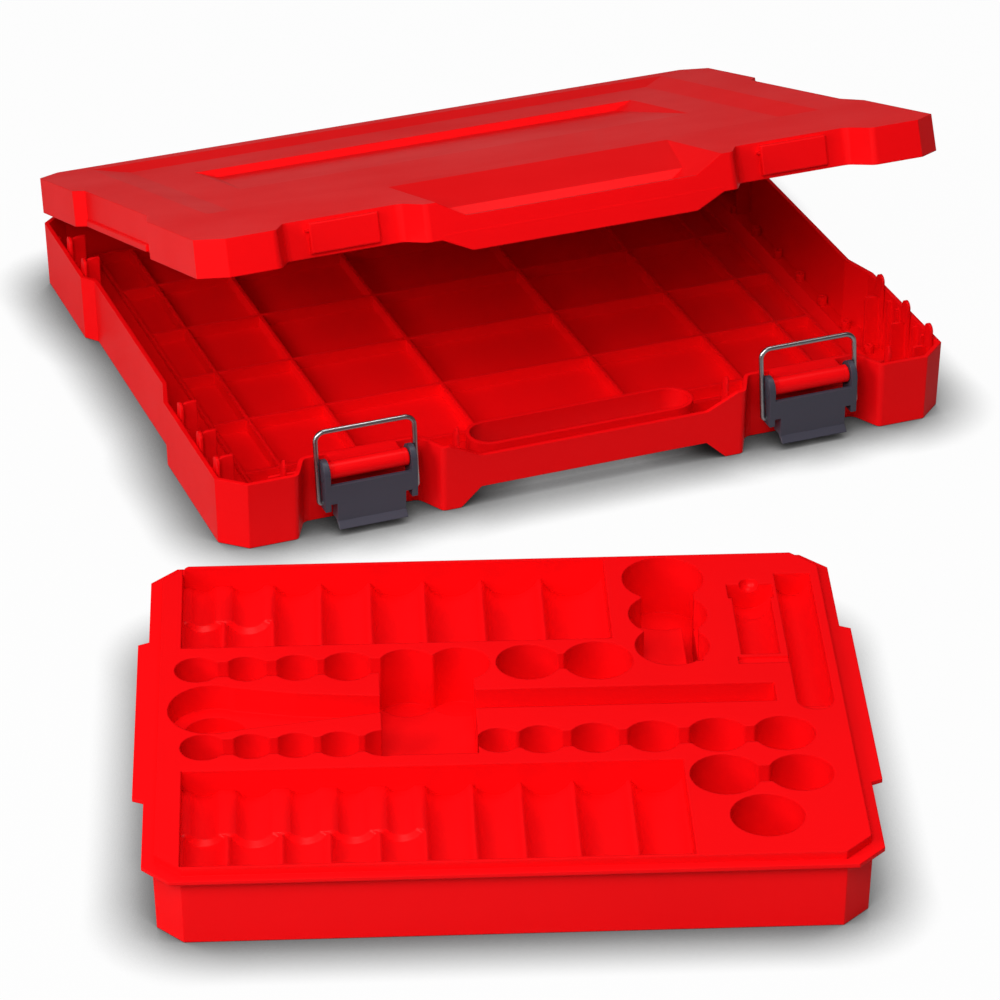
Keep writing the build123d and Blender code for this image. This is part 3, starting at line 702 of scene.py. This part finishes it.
@dataclass
class CornerWebs:
    """Upright webs, a tie and a slanted brace in each front corner of the base.

    Attributes:
        thick: thickness of every web.
        low: height of their feet.
        tall: height of the two webs beside the latch recess.
        short: height of the tie.
        brace_lower: how far the brace ends below the tie.
        soft: width of the softened edges.
        recess_x: X where the back web starts, at the latch recess.
        first_start: how much further out the front web starts.
        rib_x: X where both webs end.
        rows: places of the webs, from the front wall.
        fin_x: X where the tie starts, at the corner fin.
        blade_x: X where it ends, at the first blade.
        blade_row: place of the tie and the brace, from the front wall.
        brace_x: X where the brace starts.
        brace_out: how far the brace runs outward.
        brace_forward: how far it runs towards the front wall.
    """

    thick: float = 1.6
    low: float = 2.2
    tall: float = 29.0
    short: float = 14.0
    brace_lower: float = 2.0
    soft: float = 0.3
    recess_x: float = 153.6
    first_start: float = 4.5
    rib_x: float = 170.0
    rows: Tuple[float, ...] = (11.0, 18.0)
    fin_x: float = 166.0
    blade_x: float = 188.0
    blade_row: float = 19.5
    brace_x: float = 177.0
    brace_out: float = 12.0
    brace_forward: float = 9.0

    def plate(self, near: float, far: float, top: float) -> bmesh.types.BMesh:
        """Makes one upright rectangle.

        Args:
            near: first end along X.
            far: last end along X.
            top: its height.

        Returns:
            The plate, in metres.
        """
        outline = [(near, self.low), (far, self.low), (far, top), (near, top)]
        return slab(outline, self.thick, self.soft)

    def build(self, kit: PieceKit) -> None:
        """Adds the webs of both front corners.

        Args:
            kit: makes the objects.
        """
        reach = math.hypot(self.brace_out, self.brace_forward)
        slant = Matrix.Rotation(math.atan2(-self.brace_forward, self.brace_out), 4, "Z")
        for side, name in SIDES:
            mirror = CASE.place() @ mirrored(side)
            for number, row in enumerate(self.rows):
                near = self.recess_x + (self.first_start if number == 0 else 0.0)
                web = self.plate(near, self.rib_x, self.tall)
                place = mirror @ shifted(0.0, CASE.front + row, 0.0)
                kit.add(f"corner_web_{name}_{number}", web, place, Body.CASE, "red_plastic")
            tie = self.plate(self.fin_x, self.blade_x, self.short)
            place = mirror @ shifted(0.0, CASE.front + self.blade_row, 0.0)
            kit.add(f"corner_tie_{name}", tie, place, Body.CASE, "red_plastic")
            brace = self.plate(0.0, reach, self.short - self.brace_lower)
            place = mirror @ shifted(self.brace_x, CASE.front + self.blade_row, 0.0) @ slant
            kit.add(f"corner_brace_{name}", brace, place, Body.CASE, "red_plastic")


@dataclass
class LatchTrim:
    """Collars that close the gap beside the red barrel, and caps on the lever's ears.

    Attributes:
        barrel: radius of the collar.
        collar_near: where the collar starts, from the latch's middle.
        collar_far: where it ends.
        collar_cut: size of its cut outer edge.
        ear_face: where the ear's outer face lies, from the latch's middle.
        cap_proud: how far the cap stands above that face.
        bore: radius of the hollow that keeps the cap clear of the stub.
        bore_lift: how far the hollow's floor stands above the face.
        cap: radius of the cap.
        cap_cut: size of its cut edge along X.
        cap_cut_radius: size of its cut edge along the radius.
        cap_ring: inner radius of the raised ring.
        ring_slope: how far the ring slopes in to the dish.
        sides: sides of the round shapes.
    """

    barrel: float = 4.6
    collar_near: float = 18.4
    collar_far: float = 21.35
    collar_cut: float = 0.5
    ear_face: float = 24.6
    cap_proud: float = 0.25
    bore: float = 2.6
    bore_lift: float = 0.05
    cap: float = 5.3
    cap_cut: float = 0.1
    cap_cut_radius: float = 0.2
    cap_ring: float = 4.3
    ring_slope: float = 0.4
    sides: int = 40

    def collar(self) -> List[Tuple[float, float]]:
        """Draws the collar.

        Returns:
            Its profile as distance along X and radius.
        """
        near, far, full = self.collar_near, self.collar_far, self.barrel
        cut = self.collar_cut
        return [(near, 0.0), (near, full), (far - cut, full), (far, full - cut), (far, 0.0)]

    def disc(self) -> List[Tuple[float, float]]:
        """Draws the ear cap: a raised ring about a dished middle, with a hollow for the stub.

        Returns:
            Its profile as distance along X and radius.
        """
        floor = self.ear_face + self.bore_lift
        root = self.ear_face - self.cap_proud
        proud = self.ear_face + self.cap_proud
        dish = self.ear_face + self.cap_proud / 2
        return [
            (floor, 0.0),
            (floor, self.bore),
            (root, self.bore),
            (root, self.cap),
            (proud - self.cap_cut, self.cap),
            (proud, self.cap - self.cap_cut_radius),
            (proud, self.cap_ring),
            (dish, self.cap_ring - self.ring_slope),
            (dish, 0.0),
        ]

    def build(self, kit: PieceKit) -> None:
        """Adds both latches' trim.

        Args:
            kit: makes the objects.
        """
        bodies = {"left": Body.LEVER_LEFT, "right": Body.LEVER_RIGHT}
        for latch, name in SIDES:
            axis = shifted(latch * CASE.latch_x, CASE.pivot_y, CASE.pivot_z)
            for end, side in (("inner", -latch), ("outer", latch)):
                place = CASE.place() @ axis @ mirrored(side)
                collar = turned(self.collar(), self.sides)
                kit.add(f"barrel_collar_{name}_{end}", collar, place, Body.CASE, "red_plastic")
                cap = turned(self.disc(), self.sides)
                kit.add(f"ear_cap_{name}_{end}", cap, place, bodies[name], "grey_plastic")


@dataclass
class LidStrips:
    """The low strip that stands proud along each recessed side of the lid.

    Attributes:
        proud: how far it stands out of the recess.
        root: how far it runs back into the lid.
        height: height of its top above the lid's lower edge.
        from_front: where it starts, from the front wall.
        from_back: where it ends, from the back wall.
        gap: how far its foot stands above the lid's lower edge.
        cut: size of its cut upper edge.
        soft: width of the softened edges.
    """

    proud: float = 1.5
    root: float = 1.4
    height: float = 4.2
    from_front: float = 118.0
    from_back: float = 91.0
    gap: float = 0.3
    cut: float = 0.8
    soft: float = 0.3

    def build(self, kit: PieceKit) -> None:
        """Adds the strip of both sides.

        Args:
            kit: makes the objects.
        """
        first, last = CASE.front + self.from_front, CASE.back - self.from_back
        face = CASE.side - CASE.side_recess
        top = CASE.lid_low + self.height
        foot = CASE.lid_low + self.gap
        outline = [
            (face - self.root, foot),
            (face + self.proud, foot),
            (face + self.proud, top - self.cut),
            (face + self.proud - self.cut, top),
            (face - self.root, top),
        ]
        for side, name in SIDES:
            place = CASE.lid_place() @ mirrored(side) @ shifted(0.0, (last + first) / 2, 0.0)
            shape = slab(outline, last - first, self.soft)
            kit.add(f"lid_strip_{name}", shape, place, Body.LID, "red_plastic")


@dataclass
class TroughFloor:
    """A scalloped floor for lying sockets: shallow rounds with a step down towards the front.

    Attributes:
        name: the piece's name.
        edges: X of the ridges, with both ends.
        front: Y of the trough's front edge.
        back: Y of its back edge.
        step: Y of the step's foot.
        stepped: how many pockets have the step, from the left.
        ridge: width of a ridge.
        ridge_z: height of the ridges.
        axis_z: height of the rounds' centres.
        low: height of the piece's hidden underside.
        root: how far it runs into the trough's walls.
        inset: how much narrower a stepped pocket's back part is, on each side.
        slope: length of the step's slope.
        arc_steps: pieces of one round.
        smooth_lean: how much a face has to look up or down to be shaded smooth.
    """

    name: str
    edges: Tuple[float, ...]
    front: float
    back: float
    step: float
    stepped: int
    ridge: float = 1.4
    ridge_z: float = 28.4
    axis_z: float = 33.8
    low: float = 16.0
    root: float = 0.3
    inset: float = 3.0
    slope: float = 1.8
    arc_steps: int = 14
    smooth_lean: float = 0.3

    def profile(self, narrow: bool) -> List[Tuple[float, float]]:
        """Gives the closed outline of the floor in X and Z.

        Args:
            narrow: whether the stepped pockets have their narrow back form.

        Returns:
            Corners in X and Z, from the low left corner on.
        """
        first, last = self.edges[0] - self.root, self.edges[-1] + self.root
        points = [(first, self.low), (first, self.ridge_z)]
        drop = self.axis_z - self.ridge_z
        for number, (left, right) in enumerate(zip(self.edges, self.edges[1:])):
            half = (right - left - self.ridge) / 2
            if narrow and number < self.stepped:
                half -= self.inset
            radius = math.hypot(half, drop)
            dip = math.degrees(math.atan2(drop, half))
            middle = (left + right) / 2
            points += corner_arc(middle, self.axis_z, radius, 180.0 + dip, 360.0 - dip, self.arc_steps)
        points += [(last, self.ridge_z), (last, self.low)]
        return points

    def build(self, kit: PieceKit) -> None:
        """Adds the floor.

        Args:
            kit: makes the object.
        """
        narrow, wide = self.profile(True), self.profile(False)
        rows = [
            (self.back + self.root, narrow),
            (self.step + self.slope, narrow),
            (self.step, wide),
            (self.front - self.root, wide),
        ]
        shape = bmesh.new()
        rings = [
            [shape.verts.new((x * MM, y * MM, z * MM)) for x, z in outline] for y, outline in rows
        ]
        for first, second in zip(rings, rings[1:]):
            for i in range(len(first)):
                j = (i + 1) % len(first)
                shape.faces.new((first[i], first[j], second[j], second[i]))
        # both edges of the step's slope stay crisp
        for ring in rings[1:3]:
            for pair in zip(ring, ring[1:]):
                shape.edges.get(pair).smooth = False
        shape.faces.new(rings[0])
        shape.faces.new(rings[-1])
        piece = kit.add(self.name, shape, shifted(TRAY.x, TRAY.y, 0.0), Body.TRAY, "red_plastic")
        for face in piece.data.polygons:
            face.use_smooth = len(face.vertices) == 4 and abs(face.normal.z) > self.smooth_lean


@dataclass(frozen=True)
class SoftBox:
    """A square area light.

    Attributes:
        name: the light's name.
        place: where it stands, in metres.
        aim: the point it faces.
        size: the side of the square.
        power: watts.
    """

    name: str
    place: Tuple[float, float, float]
    aim: Tuple[float, float, float]
    size: float
    power: float

    def build(self) -> None:
        """Adds the light."""
        data = bpy.data.lights.new(self.name, "AREA")
        data.shape = "SQUARE"
        data.size = self.size
        data.energy = self.power
        lamp = bpy.data.objects.new(self.name, data)
        lamp.location = self.place
        beam = Vector(self.aim) - Vector(self.place)
        lamp.rotation_euler = beam.to_track_quat("-Z", "Y").to_euler()
        bpy.context.scene.collection.objects.link(lamp)
        LOG.info("light %s", self.name)


@dataclass
class Studio:
    """Camera, lights, ground and air placed like the photo's.

    Attributes:
        lens: focal length, in millimetres.
        sensor: width of the camera's sensor, in millimetres.
        sight: how far the camera sees, in metres.
        eye: where the camera stands, in metres.
        pitch: how far it looks down, in radians.
        yaw: its turn about Z, in radians.
        sweep_size: side of the paper sweep, in metres.
        sweep_middle: the middle of the sweep, a little below the object's feet.
        air: strength of the even light from all round.
        boxes: the soft boxes.
    """

    lens: float = 166.5
    sensor: float = 36.0
    sight: float = 50.0
    eye: Tuple[float, float, float] = (-0.0918, -2.2029, 1.1868)
    pitch: float = 0.528
    yaw: float = -0.046
    sweep_size: float = 14.0
    sweep_middle: Tuple[float, float, float] = (0.0, 2.0, -0.0002)
    air: float = 0.08
    boxes: Tuple[SoftBox, ...] = (
        SoftBox("top box", (0.4, 0.1, 2.3), (0.0, -0.15, 0.0), 1.0, 16.0),
        SoftBox("left box", (-2.0, -1.4, 1.3), (0.0, -0.2, 0.0), 1.2, 36.0),
        SoftBox("front box", (-0.4, -1.8, 1.7), (0.0, -0.3, 0.0), 1.2, 37.0),
    )

    def add_camera(self) -> None:
        """Places the camera at the photo's angle."""
        data = bpy.data.cameras.new("photo camera")
        data.lens = self.lens
        data.sensor_width = self.sensor
        data.clip_end = self.sight
        eye = bpy.data.objects.new("photo_camera", data)
        eye.location = self.eye
        eye.rotation_euler = (math.pi / 2 - self.pitch, 0.0, self.yaw)
        bpy.context.scene.collection.objects.link(eye)
        bpy.context.scene.camera = eye

    def add_sweep(self) -> None:
        """Lays the white sweep on the ground."""
        mesh = bpy.data.meshes.new("sweep")
        shape = bmesh.new()
        bmesh.ops.create_grid(shape, x_segments=1, y_segments=1, size=self.sweep_size / 2)
        bmesh.ops.translate(shape, verts=shape.verts, vec=self.sweep_middle)
        shape.to_mesh(mesh)
        shape.free()
        mesh.materials.append(PAPER.build())
        sweep = bpy.data.objects.new("studio_sweep", mesh)
        bpy.context.scene.collection.objects.link(sweep)

    def add_air(self) -> None:
        """Lights the world evenly, so that no shadow is black."""
        world = bpy.data.worlds.new("studio air")
        world.use_nodes = True
        back = world.node_tree.nodes["Background"]
        back.inputs["Color"].default_value = (1.0, 1.0, 1.0, 1.0)
        back.inputs["Strength"].default_value = self.air
        bpy.context.scene.world = world

    def build(self) -> None:
        """Sets the whole studio up."""
        self.add_camera()
        self.add_sweep()
        for box in self.boxes:
            box.build()
        self.add_air()
        bpy.context.scene.view_settings.view_transform = "Standard"


def dress(nodes: Dict[str, bpy.types.Object], finishes: Dict[str, bpy.types.Material]) -> None:
    """Gives each CAD node its finish.

    Args:
        nodes: the CAD nodes by name.
        finishes: materials by the record's slot name.
    """
    for name, node in nodes.items():
        finish = finishes["red_plastic"]
        if name.startswith("latch_lever"):
            finish = finishes["grey_plastic"]
        elif name.startswith(("latch_bail", "hinge_pin")):
            finish = finishes["steel_wire"]
        node.data.materials.clear()
        node.data.materials.append(finish)
        LOG.info("node %s gets %s", name, finish.name)


def trough_floors() -> Tuple[TroughFloor, ...]:
    """Fits a floor to each trough of the tray.

    Returns:
        The upper floor and the lower one.
    """
    upper = TroughFloor(
        "trough_floor_upper",
        TRAY.upper_edges,
        TRAY.upper_front,
        TRAY.edge,
        TRAY.upper_step,
        TRAY.upper_stepped,
    )
    lower = TroughFloor(
        "trough_floor_lower",
        TRAY.lower_edges,
        -TRAY.edge,
        TRAY.lower_back,
        TRAY.lower_step,
        TRAY.lower_stepped,
    )
    return (upper, lower)


def main() -> None:
    """Builds the scene."""
    logging.basicConfig(level=logging.INFO)
    finishes = {"red_plastic": RED.build(), "grey_plastic": GREY.build(), "steel_wire": STEEL.build()}
    dress(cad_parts, finishes)
    kit = PieceKit(finishes)
    for assembly in (GuideBlades(), CornerWebs(), LatchTrim(), LidStrips(), *trough_floors()):
        assembly.build(kit)
    Studio().build()


if __name__ == "__main__":
    main()
